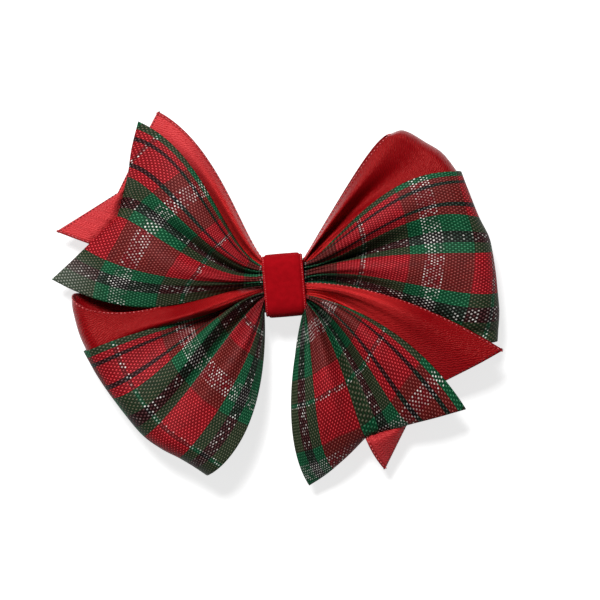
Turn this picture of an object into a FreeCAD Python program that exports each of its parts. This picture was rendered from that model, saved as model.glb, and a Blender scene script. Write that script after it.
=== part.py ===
import FreeCAD, Part
import math
import os
import Sketcher

Vector = FreeCAD.Vector

# A ready-made gift bow lying on its back. Ribbons run left to right through a gathered middle,
# a velvet band wraps the middle, and a foam pad behind it sticks the bow to a parcel.
# The origin is the centre of the pad's sticky underside. +Z is the front, +X the longest side.

SIZES = {
    # ribbons
    "tartan_width": 40.0,
    "satin_width": 38.0,
    "fabric_thick": 0.3,
    "velvet_width": 9.0,
    "velvet_thick": 1.0,
    # each petal: how far it reaches from the middle of the knot, how much further its lower edge
    # reaches than its upper edge, and the way it points, in degrees from +X towards +Y
    "tartan_loop_right_reach": 47.5,
    "tartan_loop_right_skew": 2.3,
    "tartan_loop_right_turn": 8.5,
    "satin_loop_right_reach": 44.8,
    "satin_loop_right_skew": 3.0,
    "satin_loop_right_turn": 28.5,
    "satin_tail_right_reach": 48.4,
    "satin_tail_right_skew": -3.9,
    "satin_tail_right_turn": -39.0,
    "tartan_tail_right_reach": 46.6,
    "tartan_tail_right_skew": -3.9,
    "tartan_tail_right_turn": -58.7,
    "tartan_tail_left_reach": 50.0,
    "tartan_tail_left_skew": 2.9,
    "tartan_tail_left_turn": 155.2,
    "satin_tail_left_reach": 49.8,
    "satin_tail_left_skew": 4.4,
    "satin_tail_left_turn": 146.4,
    "satin_loop_left_reach": 45.6,
    "satin_loop_left_skew": -0.9,
    "satin_loop_left_turn": 207.0,
    "tartan_loop_left_reach": 46.0,
    "tartan_loop_left_skew": -1.3,
    "tartan_loop_left_turn": 223.5,
    # rounding of the loops, their height and the pleats
    "tartan_fold_radius": 5.0,
    "satin_fold_radius": 3.6,
    "loop_lift": 1.6,
    "rise_length": 26.0,
    "pleat_height": 1.7,
    "pleat_ease": 12.0,
    "pleat_fade_start": 18.0,
    "pleat_fade_length": 26.0,
    # tails: depth of the V cut, where each side starts to droop and how sharply it bends
    "tail_notch": 10.0,
    "left_droop_start": 28.0,
    "left_droop_bend": 0.018,
    "right_droop_start": 28.0,
    "right_droop_bend": 0.018,
    # the gathered middle
    "gather_half": 4.2,
    "gather_ease": 0.8,
    "slot_step": 0.8,
    "layer_pitch": 1.0,
    "mouth_clearance": 0.9,
    "ring_seam": 0.4,
    # what holds the middle together
    "thread_diameter": 0.4,
    "thread_pitch": 1.2,
    "wrap_clearance": 0.2,
    "wrap_radius": 2.0,
    "glue_thick": 0.2,
    "glue_length": 6.0,
    "lap_length": 8.0,
    "lap_joint": 1.2,
    "band_tilt": 4.5,
    # the foam pad
    "pad_length": 16.0,
    "pad_width": 12.0,
    "pad_corner": 2.0,
    "foam_thick": 1.8,
    "film_thick": 0.1,
}

# Where each petal leaves the knot, in steps up from the middle of the gather.
SLOTS = {
    "satin_loop_right": 2,
    "tartan_loop_right": 1,
    "satin_tail_right": -1,
    "tartan_tail_right": -2,
    "satin_tail_left": 2,
    "tartan_tail_left": 1,
    "satin_loop_left": -1,
    "tartan_loop_left": -2,
}
# The main folds fan out from the knot. Each line has its bearing in degrees, its height as a share
# of pleat_height (crests above 0, valleys below), how full the layers are there, and how much of its
# side's droop a tail has there.
FOLDS = [
    (-86, -0.9, 0.5, 1.0), (-79, -0.3, 0.5, 1.0), (-70, 0.5, 0.5, 1.0), (-61, 0.9, 0.5, 1.0),
    (-48, -1.1, 0.5, 1.0), (-40, 0.3, 0.5, 0.8), (-30, 0.9, 0.5, 0.5), (-22, -0.5, 0.5, 0.1),
    (-16, -0.2, 0.5, 0.0), (-9, 0.5, 0.55, 0.0), (-1, -0.4, 0.8, 0.0), (6, 0.6, 1.0, 0.0),
    (13, 0.9, 1.0, 0.0), (22, -1.1, 1.0, 0.0), (28, 0.3, 1.0, 0.0), (36, 1.0, 1.0, 0.0),
    (42, -0.2, 1.0, 0.0), (48, -0.8, 1.0, 0.0), (53, 0.7, 1.0, 0.0), (58, -0.4, 1.0, 0.0),
    (122, -0.4, 0.5, 1.0), (128, 0.6, 0.5, 1.0), (133, -0.5, 0.5, 1.0), (141, 0.7, 0.5, 1.0),
    (150, 0.5, 0.5, 1.0), (158, -1.0, 0.5, 1.0), (164, 0.0, 0.5, 1.0), (170, 0.7, 0.5, 1.0),
    (176, 0.4, 0.5, 0.8), (183, -0.4, 0.5, 0.6), (188, -0.6, 0.6, 0.5), (193, 0.7, 0.9, 0.0),
    (198, -0.3, 1.0, 0.0), (205, -1.0, 1.0, 0.0), (213, 0.8, 1.0, 0.0), (223, -0.6, 1.0, 0.0),
    (233, 0.8, 1.0, 0.0), (242, 0.4, 1.0, 0.0), (250, -0.3, 1.0, 0.0), (256, -1.0, 1.0, 0.0),
]
LEAST_PLEAT = 0.25
ACROSS = 27
RUN_STATIONS = 8
FOLD_STATIONS = 7
TAIL_STATIONS = 15
KNOT_STATIONS = 2

doc = FreeCAD.newDocument("gift_bow")
sheet = doc.addObject("Spreadsheet::Sheet", "dims")
for row, (alias, value) in enumerate(SIZES.items(), start=1):
    sheet.set("A%d" % row, alias)
    sheet.set("B%d" % row, str(value))
    sheet.setAlias("B%d" % row, alias)
doc.recompute()


def size(alias):
    """The plain number in the sheet's cell of that name."""
    return float(sheet.get(alias))


def origin_plane(body, role):
    """The plane of a body's own origin that has this role."""
    for feature in body.Origin.OriginFeatures:
        if feature.Role == role:
            return feature
    raise ValueError(role)


def new_body(name):
    """A body whose label names its file."""
    body = doc.addObject("PartDesign::Body", name)
    body.Label = name
    return body


def new_sketch(body, role, name):
    """A sketch on one of the body's own origin planes."""
    sketch = body.newObject("Sketcher::SketchObject", name)
    sketch.AttachmentSupport = [(origin_plane(body, role), "")]
    sketch.MapMode = "FlatFace"
    return sketch


def bind(sketch, constraint, name, expression):
    """Adds a dimension to the sketch and ties it to the sheet."""
    index = sketch.addConstraint(constraint)
    sketch.renameConstraint(index, name)
    sketch.setExpression("Constraints." + name, expression)


def rounded_loop(sketch, tag, half_width, low, high, radius, expressions):
    """A rounded rectangle about the sketch's upright axis, each size tied to the sheet.

    expressions holds the half width, the low edge, the high edge and the corner radius.
    """
    first = sketch.GeometryCount
    corners = [
        (half_width - radius, low + radius, 1.5, 2.0),
        (half_width - radius, high - radius, 0.0, 0.5),
        (radius - half_width, high - radius, 0.5, 1.0),
        (radius - half_width, low + radius, 1.0, 1.5),
    ]
    for x, y, start, stop in corners:
        circle = Part.Circle(Vector(x, y, 0), Vector(0, 0, 1), radius)
        sketch.addGeometry(Part.ArcOfCircle(circle, start * math.pi, stop * math.pi))
    for k in range(4):
        here = sketch.Geometry[first + k].EndPoint
        there = sketch.Geometry[first + (k + 1) % 4].StartPoint
        sketch.addGeometry(Part.LineSegment(here, there))
    for k in range(4):
        line = first + 4 + k
        sketch.addConstraint(Sketcher.Constraint("Tangent", first + k, 2, line, 1))
        sketch.addConstraint(Sketcher.Constraint("Tangent", line, 2, first + (k + 1) % 4, 1))
    right, top, left, bottom = (first + 4 + k for k in range(4))
    sketch.addConstraint(Sketcher.Constraint("Vertical", right))
    sketch.addConstraint(Sketcher.Constraint("Horizontal", top))
    sketch.addConstraint(Sketcher.Constraint("Vertical", left))
    sketch.addConstraint(Sketcher.Constraint("Horizontal", bottom))
    for k in range(1, 4):
        sketch.addConstraint(Sketcher.Constraint("Equal", first, first + k))
    dimensions = [
        (Sketcher.Constraint("DistanceX", -1, 1, right, 1, half_width), "_right", expressions[0]),
        (Sketcher.Constraint("DistanceX", left, 1, -1, 1, half_width), "_left", expressions[0]),
        (Sketcher.Constraint("DistanceY", -1, 1, bottom, 1, low), "_low", expressions[1]),
        (Sketcher.Constraint("DistanceY", -1, 1, top, 1, high), "_high", expressions[2]),
        (Sketcher.Constraint("Radius", first, radius), "_radius", expressions[3]),
    ]
    for constraint, name, expression in dimensions:
        bind(sketch, constraint, tag + name, expression)


def rectangle(sketch, tag, left, right, low, high, expressions):
    """An upright rectangle, its four edges tied to the sheet in the order left, right, low, high."""
    first = sketch.GeometryCount
    corners = [Vector(left, low, 0), Vector(right, low, 0), Vector(right, high, 0), Vector(left, high, 0)]
    for k in range(4):
        sketch.addGeometry(Part.LineSegment(corners[k], corners[(k + 1) % 4]))
    for k in range(4):
        sketch.addConstraint(Sketcher.Constraint("Coincident", first + k, 2, first + (k + 1) % 4, 1))
    for k in (0, 2):
        sketch.addConstraint(Sketcher.Constraint("Horizontal", first + k))
        sketch.addConstraint(Sketcher.Constraint("Vertical", first + k + 1))
    dimensions = [
        (Sketcher.Constraint("DistanceX", -1, 1, first, 1, left), "_left", expressions[0]),
        (Sketcher.Constraint("DistanceX", -1, 1, first + 1, 1, right), "_right", expressions[1]),
        (Sketcher.Constraint("DistanceY", -1, 1, first, 1, low), "_low", expressions[2]),
        (Sketcher.Constraint("DistanceY", -1, 1, first + 2, 1, high), "_high", expressions[3]),
    ]
    for constraint, name, expression in dimensions:
        bind(sketch, constraint, tag + name, expression)


def add_pad(body, sketch, name, length, symmetric):
    """Pads a sketch by a length tied to the sheet."""
    pad = body.newObject("PartDesign::Pad", name)
    pad.Profile = sketch
    pad.SideType = "Symmetric" if symmetric else "One side"
    pad.setExpression("Length", length)
    return pad


# Heights in the stack, each worked out from the piece that it lies on.
PAD_TOP = size("foam_thick") + 2 * size("film_thick")
LAP_TOP = PAD_TOP + size("velvet_thick")
BAND_LOW = LAP_TOP + size("glue_thick")
CORE_LOW = BAND_LOW + size("velvet_thick") + 2 * size("wrap_clearance") + size("thread_diameter")
FIRST_LAYER = CORE_LOW + size("fabric_thick") / 2
LAYERS = {
    name: FIRST_LAYER + k * size("layer_pitch")
    for k, name in enumerate(
        ["tartan_back", "satin_back", "satin_front", "tartan_front", "satin_tails", "tartan_tails"]
    )
}
CORE_TOP = LAYERS["tartan_tails"] + size("fabric_thick") / 2
LOOP_MIDDLE = (LAYERS["satin_back"] + LAYERS["satin_front"]) / 2 + size("loop_lift")
KNOT_HALF = size("velvet_width") / 2 + size("mouth_clearance")
TOP_RISE = LOOP_MIDDLE + size("tartan_fold_radius") - LAYERS["tartan_front"]

PAD_TOP_TEXT = "(dims.foam_thick + 2 * dims.film_thick)"
BAND_LOW_TEXT = "(" + PAD_TOP_TEXT + " + dims.velvet_thick + dims.glue_thick)"
WRAP_TEXT = "(2 * dims.wrap_clearance + dims.thread_diameter)"
CORE_LOW_TEXT = "(" + BAND_LOW_TEXT + " + dims.velvet_thick + " + WRAP_TEXT + ")"
CORE_TOP_TEXT = "(" + CORE_LOW_TEXT + " + dims.fabric_thick + 5 * dims.layer_pitch)"
GATHER_TEXT = "(dims.gather_half + dims.gather_ease)"


def smooth(t):
    """Eases from 0 to 1 with no kink at either end."""
    t = min(max(t, 0.0), 1.0)
    return t * t * (3 - 2 * t)


def fold_value(x, y, column):
    """A column of the fold lines, eased between the two lines beside a place in plan."""
    bearing = math.degrees(math.atan2(y, x))
    if bearing < FOLDS[0][0] - 18:
        bearing += 360
    if bearing <= FOLDS[0][0]:
        return FOLDS[0][column]
    for low, high in zip(FOLDS, FOLDS[1:]):
        if bearing <= high[0]:
            share = smooth((bearing - low[0]) / (high[0] - low[0]))
            return low[column] + (high[column] - low[column]) * share
    return FOLDS[-1][column]


def pleat(x, y):
    """Height of the folds at a place in plan: they start at the band and fade towards the ends."""
    radius = math.hypot(x, y)
    grown = smooth((radius - KNOT_HALF) / size("pleat_ease"))
    faded = smooth((radius - size("pleat_fade_start")) / size("pleat_fade_length"))
    return size("pleat_height") * grown * (1 - (1 - LEAST_PLEAT) * faded) * fold_value(x, y, 1)


def risen(x, y):
    """How far a layer has risen at a place in plan: 0 at the band, 1 where the loops are fullest."""
    return smooth((math.hypot(x, y) - KNOT_HALF) / size("rise_length")) * fold_value(x, y, 2)


def raised(spot, start, stop):
    """The place at its height on a pleated layer that goes from height start to height stop."""
    height = start + (stop - start) * risen(spot.x, spot.y)
    return Vector(spot.x, spot.y, height + pleat(spot.x, spot.y))


def slot_point(u, x, height, kind):
    """A place inside the knot, where the gathered ribbon drifts from one side's slot to the other's."""
    mix = (x / KNOT_HALF + 1) / 2
    left = SLOTS[kind + "_left"]
    middle = left + (SLOTS[kind + "_right"] - left) * mix
    slot_half = size("gather_half") - 2 * size("slot_step")
    return Vector(x, size("slot_step") * middle + (1 - 2 * u) * slot_half, height)


def petal_point(u, along, side, kind):
    """A place in plan on a petal: u runs across the ribbon, along from the band to the petal's end."""
    petal = kind + ("_right" if side > 0 else "_left")
    reach = size(petal + "_reach") + (u - 0.5) * size(petal + "_skew")
    width = size(kind.split("_")[0] + "_width")
    angle = math.radians(size(petal + "_turn")) - side * (u - 0.5) * width / size(petal + "_reach")
    start = slot_point(u, side * KNOT_HALF, 0, kind)
    end = Vector(reach * math.cos(angle), reach * math.sin(angle), 0)
    return start + (end - start) * along


def across():
    """The shares of the ribbon's width at which a row has its points."""
    return [k / (ACROSS - 1) for k in range(ACROSS)]


def knot_stations(start, stop, count):
    """Evenly spaced places along the knot, from start to stop."""
    return [start + (stop - start) * k / count for k in range(count + 1)]


def knot_row(kind, x, height):
    """A row of points across a ribbon inside the knot."""
    return [slot_point(u, x, height, kind) for u in across()]


def loop_rows(kind, side, front, back, radius):
    """Rows of points round one loop, from the band's front out to the fold and back under it."""
    petal = kind + ("_right" if side > 0 else "_left")
    edge = 1 - radius / (size(petal + "_reach") - KNOT_HALF)
    upper = []
    lower = []
    for k in range(1, RUN_STATIONS + 1):
        spots = [petal_point(u, edge * k / RUN_STATIONS, side, kind) for u in across()]
        upper.append([raised(spot, front, LOOP_MIDDLE + radius) for spot in spots])
        lower.append([raised(spot, back, LOOP_MIDDLE - radius) for spot in spots])
    fold = []
    for k in range(1, FOLD_STATIONS):
        bend = math.pi * k / FOLD_STATIONS
        share = (1 + math.cos(bend)) / 2
        start = back + (front - back) * share
        stop = LOOP_MIDDLE + radius * math.cos(bend)
        spots = [petal_point(u, edge + (1 - edge) * math.sin(bend), side, kind) for u in across()]
        fold.append([raised(spot, start, stop) for spot in spots])
    return upper + fold + lower[::-1]


def ring_rows(kind, front, back, radius):
    """Rows of points of a ribbon bent into a ring, from its seam in the knot round both loops."""
    seam = size("ring_seam") / 2
    right = loop_rows(kind, 1, front, back, radius)
    left = loop_rows(kind, -1, front, back, radius)
    whole = 2 * KNOT_STATIONS
    middle = [knot_row(kind, x, back) for x in knot_stations(KNOT_HALF, -KNOT_HALF, whole)]
    first = [knot_row(kind, x, front) for x in knot_stations(seam, KNOT_HALF, KNOT_STATIONS)]
    last = [knot_row(kind, x, front) for x in knot_stations(-KNOT_HALF, -seam, KNOT_STATIONS)]
    return first + right + middle + left[::-1] + last


def tail_row(kind, side, share, height):
    """A row of points across a tail, at a share of the way from the band to its V cut."""
    name = "right" if side > 0 else "left"
    notch = size("tail_notch") / size(kind + "_" + name + "_reach")
    points = []
    for u in across():
        along = share * (1 - notch * (1 - abs(2 * u - 1)))
        spot = raised(petal_point(u, along, side, kind), height, height + TOP_RISE)
        drop = max(0.0, math.hypot(spot.x, spot.y) - size(name + "_droop_start"))
        bend = size(name + "_droop_bend") * fold_value(spot.x, spot.y, 3)
        points.append(spot - Vector(0, 0, bend * drop ** 2))
    return points


def tail_rows(kind, height):
    """Rows of points of a ribbon that runs through the knot and ends in a V cut on each side."""
    shares = [k / TAIL_STATIONS for k in range(1, TAIL_STATIONS + 1)]
    left = [tail_row(kind, -1, share, height) for share in reversed(shares)]
    whole = 2 * KNOT_STATIONS
    middle = [knot_row(kind, x, height) for x in knot_stations(-KNOT_HALF, KNOT_HALF, whole)]
    right = [tail_row(kind, 1, share, height) for share in shares]
    return left + middle + right


def grid_normal(rows, i, k):
    """The direction square to the cloth at one point of its rows, from the points beside it."""
    along = rows[min(i + 1, len(rows) - 1)][k] - rows[max(i - 1, 0)][k]
    sideways = rows[i][min(k + 1, ACROSS - 1)] - rows[i][max(k - 1, 0)]
    return along.cross(sideways).normalize()


def cloth_surface(rows, offset):
    """A smooth surface at an even distance from the one through the rows of points."""
    surface = Part.BSplineSurface()
    surface.interpolate([
        [point + grid_normal(rows, i, k) * offset for k, point in enumerate(row)]
        for i, row in enumerate(rows)
    ])
    return surface


def cloth_solid(rows, thick):
    """A closed solid of even thickness about the surface through the rows of points."""
    top = cloth_surface(rows, thick / 2)
    bottom = cloth_surface(rows, -thick / 2)
    faces = [top.toShape(), bottom.toShape()]
    u_low, u_high, v_low, v_high = top.bounds()
    for upper, lower in (
        (top.uIso(u_low), bottom.uIso(u_low)),
        (top.uIso(u_high), bottom.uIso(u_high)),
        (top.vIso(v_low), bottom.vIso(v_low)),
        (top.vIso(v_high), bottom.vIso(v_high)),
    ):
        faces.append(Part.makeRuledSurface(upper.toShape(), lower.toShape()))
    shell = Part.Shell(faces)
    shell.sewShape()
    solid = Part.Solid(shell)
    if solid.Volume < 0:
        solid.reverse()
    return solid


def ribbon(name, rows):
    """A ribbon as a document object whose label names its file."""
    feature = doc.addObject("Part::Feature", name)
    feature.Label = name
    feature.Shape = cloth_solid(rows, size("fabric_thick"))
    feature.Placement = FreeCAD.Placement()
    return feature


def make_tartan_loops():
    """The tartan ribbon's ring, outside the satin one."""
    return ribbon("tartan_loops", ring_rows(
        "tartan_loop", LAYERS["tartan_front"], LAYERS["tartan_back"], size("tartan_fold_radius"),
    ))


def make_satin_loops():
    """The satin ribbon's ring, which the tartan one goes round where they cross."""
    return ribbon("satin_loops", ring_rows(
        "satin_loop", LAYERS["satin_front"], LAYERS["satin_back"], size("satin_fold_radius"),
    ))


def make_tartan_tails():
    """The tartan length on top, with a V cut at both ends."""
    return ribbon("tartan_tails", tail_rows("tartan_tail", LAYERS["tartan_tails"]))


def make_satin_tails():
    """The satin length under the tartan tails, with a V cut at both ends."""
    return ribbon("satin_tails", tail_rows("satin_tail", LAYERS["satin_tails"]))


def make_velvet_band():
    """The velvet ribbon: once round the knot, with its end lapped under the back."""
    body = new_body("velvet_band")
    sketch = new_sketch(body, "YZ_Plane", "band_outline")
    wrap = 2 * size("wrap_clearance") + size("thread_diameter")
    inner_half = size("gather_half") + size("gather_ease") + wrap
    outer_half = inner_half + size("velvet_thick")
    rounded_loop(
        sketch, "outer", outer_half, BAND_LOW, CORE_TOP + wrap + size("velvet_thick"),
        size("wrap_radius") + size("velvet_thick"),
        [
            GATHER_TEXT + " + " + WRAP_TEXT + " + dims.velvet_thick",
            BAND_LOW_TEXT,
            CORE_TOP_TEXT + " + " + WRAP_TEXT + " + dims.velvet_thick",
            "dims.wrap_radius + dims.velvet_thick",
        ],
    )
    rounded_loop(
        sketch, "inner", inner_half, BAND_LOW + size("velvet_thick"), CORE_TOP + wrap,
        size("wrap_radius"),
        [
            GATHER_TEXT + " + " + WRAP_TEXT,
            BAND_LOW_TEXT + " + dims.velvet_thick",
            CORE_TOP_TEXT + " + " + WRAP_TEXT,
            "dims.wrap_radius",
        ],
    )
    add_pad(body, sketch, "band_ring", "dims.velvet_width", True)
    lap = new_sketch(body, "YZ_Plane", "lap_outline")
    half = size("lap_length") / 2
    rectangle(
        lap, "lap", -half, half, PAD_TOP, LAP_TOP,
        [
            "-dims.lap_length / 2",
            "dims.lap_length / 2",
            PAD_TOP_TEXT,
            PAD_TOP_TEXT + " + dims.velvet_thick",
        ],
    )
    add_pad(body, lap, "band_lap", "dims.velvet_width", True)
    joint = new_sketch(body, "YZ_Plane", "joint_outline")
    rectangle(
        joint, "joint", -half, size("lap_joint") - half, LAP_TOP, BAND_LOW,
        [
            "-dims.lap_length / 2",
            "dims.lap_joint - dims.lap_length / 2",
            PAD_TOP_TEXT + " + dims.velvet_thick",
            BAND_LOW_TEXT,
        ],
    )
    add_pad(body, joint, "lap_joint", "dims.velvet_width", True)
    body.Placement.Rotation = FreeCAD.Rotation(Vector(0, 0, 1), size("band_tilt"))
    return body


def make_band_glue():
    """The glue between the band's back and its lapped end."""
    body = new_body("band_glue")
    sketch = new_sketch(body, "YZ_Plane", "glue_outline")
    start = size("lap_joint") - size("lap_length") / 2
    rectangle(
        sketch, "glue", start, start + size("glue_length"), LAP_TOP, BAND_LOW,
        [
            "dims.lap_joint - dims.lap_length / 2",
            "dims.lap_joint - dims.lap_length / 2 + dims.glue_length",
            PAD_TOP_TEXT + " + dims.velvet_thick",
            BAND_LOW_TEXT,
        ],
    )
    add_pad(body, sketch, "glue_film", "dims.velvet_width", True)
    body.Placement.Rotation = FreeCAD.Rotation(Vector(0, 0, 1), size("band_tilt"))
    return body


def make_binding_thread():
    """Three turns of thread that draw the gathered ribbons together under the band."""
    body = new_body("binding_thread")
    offset = size("wrap_clearance") + size("thread_diameter") / 2
    offset_text = "(dims.wrap_clearance + dims.thread_diameter / 2)"
    spine = new_sketch(body, "YZ_Plane", "turn_path")
    rounded_loop(
        spine, "turn", size("gather_half") + size("gather_ease") + offset,
        CORE_LOW - offset, CORE_TOP + offset, size("wrap_radius") - offset,
        [
            GATHER_TEXT + " + " + offset_text,
            CORE_LOW_TEXT + " - " + offset_text,
            CORE_TOP_TEXT + " + " + offset_text,
            "dims.wrap_radius - " + offset_text,
        ],
    )
    section = new_sketch(body, "XZ_Plane", "thread_section")
    top = CORE_TOP + offset
    gauge = size("thread_diameter")
    section.addGeometry(Part.Circle(Vector(0, top, 0), Vector(0, 0, 1), gauge / 2))
    section.addConstraint(Sketcher.Constraint("DistanceX", -1, 1, 0, 3, 0))
    height = Sketcher.Constraint("DistanceY", -1, 1, 0, 3, top)
    bind(section, height, "top", CORE_TOP_TEXT + " + " + offset_text)
    bind(section, Sketcher.Constraint("Diameter", 0, gauge), "gauge", "dims.thread_diameter")
    doc.recompute()
    turn = body.newObject("PartDesign::AdditivePipe", "turn")
    turn.Profile = section
    turn.Spine = spine
    doc.recompute()
    turns = body.newObject("PartDesign::LinearPattern", "turns")
    turns.Originals = [turn]
    turns.Direction = (origin_plane(body, "X_Axis"), [""])
    turns.setExpression("Length", "2 * dims.thread_pitch")
    turns.Occurrences = 3
    body.Tip = turns
    turn_angle = FreeCAD.Rotation(Vector(0, 0, 1), size("band_tilt"))
    body.Placement = FreeCAD.Placement(turn_angle.multVec(Vector(-size("thread_pitch"), 0, 0)), turn_angle)
    return body


def make_pad_piece(name, low_text, thick_text):
    """One layer of the double-sided pad: a plate with rounded corners."""
    body = new_body(name)
    sketch = new_sketch(body, "XY_Plane", name + "_outline")
    half_length = size("pad_length") / 2
    half_width = size("pad_width") / 2
    rounded_loop(
        sketch, "plate", half_length, -half_width, half_width, size("pad_corner"),
        ["dims.pad_length / 2", "-dims.pad_width / 2", "dims.pad_width / 2", "dims.pad_corner"],
    )
    add_pad(body, sketch, name + "_plate", thick_text, False)
    body.setExpression("Placement.Base.z", low_text)
    return body


NODES = [
    make_pad_piece("pad_adhesive_base", "0", "dims.film_thick"),
    make_pad_piece("foam_pad", "dims.film_thick", "dims.foam_thick"),
    make_pad_piece("pad_adhesive_top", "dims.film_thick + dims.foam_thick", "dims.film_thick"),
    make_velvet_band(),
    make_band_glue(),
    make_binding_thread(),
    make_tartan_loops(),
    make_satin_loops(),
    make_tartan_tails(),
    make_satin_tails(),
]

doc.recompute()
for thing in doc.Objects:
    if "Invalid" in thing.State or "Error" in thing.State:
        raise RuntimeError("%s failed: %s" % (thing.Name, thing.State))
os.makedirs("parts", exist_ok=True)
for node in NODES:
    shape = node.Shape
    if shape.isNull() or not shape.isValid():
        raise RuntimeError("%s has no valid shape" % node.Label)
    box = shape.BoundBox
    print("%-18s volume %9.2f solids %d  x %6.1f %6.1f  y %6.1f %6.1f  z %5.2f %5.2f" % (
        node.Label, shape.Volume, len(shape.Solids),
        box.XMin, box.XMax, box.YMin, box.YMax, box.ZMin, box.ZMax,
    ))
for node in NODES:
    node.Shape.exportStep("parts/%s.step" % node.Label)
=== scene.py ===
# %% [markdown]
# # A ready-made gift bow
# The bow is four ribbons gathered under a velvet band: a tartan ring and a satin ring that make the
# loops, and a tartan and a satin length that make the tails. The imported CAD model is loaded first, as
# a fixed frame. Every piece made here is placed from its boxes and rides on its one body.

# %% Load the frame
import math
import random

import bpy
import bmesh
import numpy as np
from mathutils import Matrix, Vector
from mathutils.bvhtree import BVHTree


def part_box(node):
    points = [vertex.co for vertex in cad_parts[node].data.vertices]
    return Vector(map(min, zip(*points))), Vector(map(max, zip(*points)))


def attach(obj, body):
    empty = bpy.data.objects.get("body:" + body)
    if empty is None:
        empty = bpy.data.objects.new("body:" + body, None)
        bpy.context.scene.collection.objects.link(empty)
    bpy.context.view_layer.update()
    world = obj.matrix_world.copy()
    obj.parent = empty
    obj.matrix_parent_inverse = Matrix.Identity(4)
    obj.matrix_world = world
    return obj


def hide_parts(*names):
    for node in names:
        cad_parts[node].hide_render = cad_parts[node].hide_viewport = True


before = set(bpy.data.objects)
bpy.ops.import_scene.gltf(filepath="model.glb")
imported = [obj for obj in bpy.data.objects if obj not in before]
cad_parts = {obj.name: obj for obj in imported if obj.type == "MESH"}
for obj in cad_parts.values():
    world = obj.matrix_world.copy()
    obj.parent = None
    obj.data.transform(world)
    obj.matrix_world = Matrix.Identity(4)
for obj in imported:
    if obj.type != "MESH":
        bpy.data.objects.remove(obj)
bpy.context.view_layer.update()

MM = 0.001
BODY = "root"

# %% [markdown]
# ## Sizes that everything shares
# The heights come from the frame: the binding thread's box gives the knot, and the loops' boxes say how
# full the loops are. The ribbons' widths are the standard ones that the CAD model is built from.

# %% Sizes from the frame
band_low, band_high = (Vector(corner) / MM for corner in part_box("velvet_band"))
loops_low, loops_high = (Vector(corner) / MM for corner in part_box("tartan_loops"))
thread_low, thread_high = (Vector(corner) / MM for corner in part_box("binding_thread"))

TARTAN_WIDTH = 40.0
SATIN_WIDTH = 38.0
VELVET_WIDTH = 9.0
VELVET_PILE = 1.0
FABRIC = 0.22
MOUTH = VELVET_WIDTH / 2
# The ribbons lie inside the binding thread, a little clear of it below and above (mm).
CLEAR_BELOW = 0.6
CLEAR_ABOVE = 0.5
KNOT_LOW = thread_low.z + CLEAR_BELOW
KNOT_HIGH = thread_high.z - CLEAR_ABOVE
LAYER_NAMES = ["tartan_back", "satin_back", "satin_front", "tartan_front", "satin_tail", "tartan_tail"]
LAYER = {
    name: KNOT_LOW + (KNOT_HIGH - KNOT_LOW) * k / (len(LAYER_NAMES) - 1)
    for k, name in enumerate(LAYER_NAMES)
}
LOOP_MIDDLE = (loops_low.z + loops_high.z) / 2
print("knot layers in millimetres:", {name: round(z, 2) for name, z in LAYER.items()})

# %% [markdown]
# ## Fold lines
# A gathered ribbon opens like a fan, and its look is in its folds. Each petal is described by a few
# fold lines that run from the band to the petal's end. A line has its share of the ribbon's width, its
# place at the band's edge, its bearing from the knot's middle at two distances, where it ends, and how
# high it stands (a crest) or how deep it lies (a valley).

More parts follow.
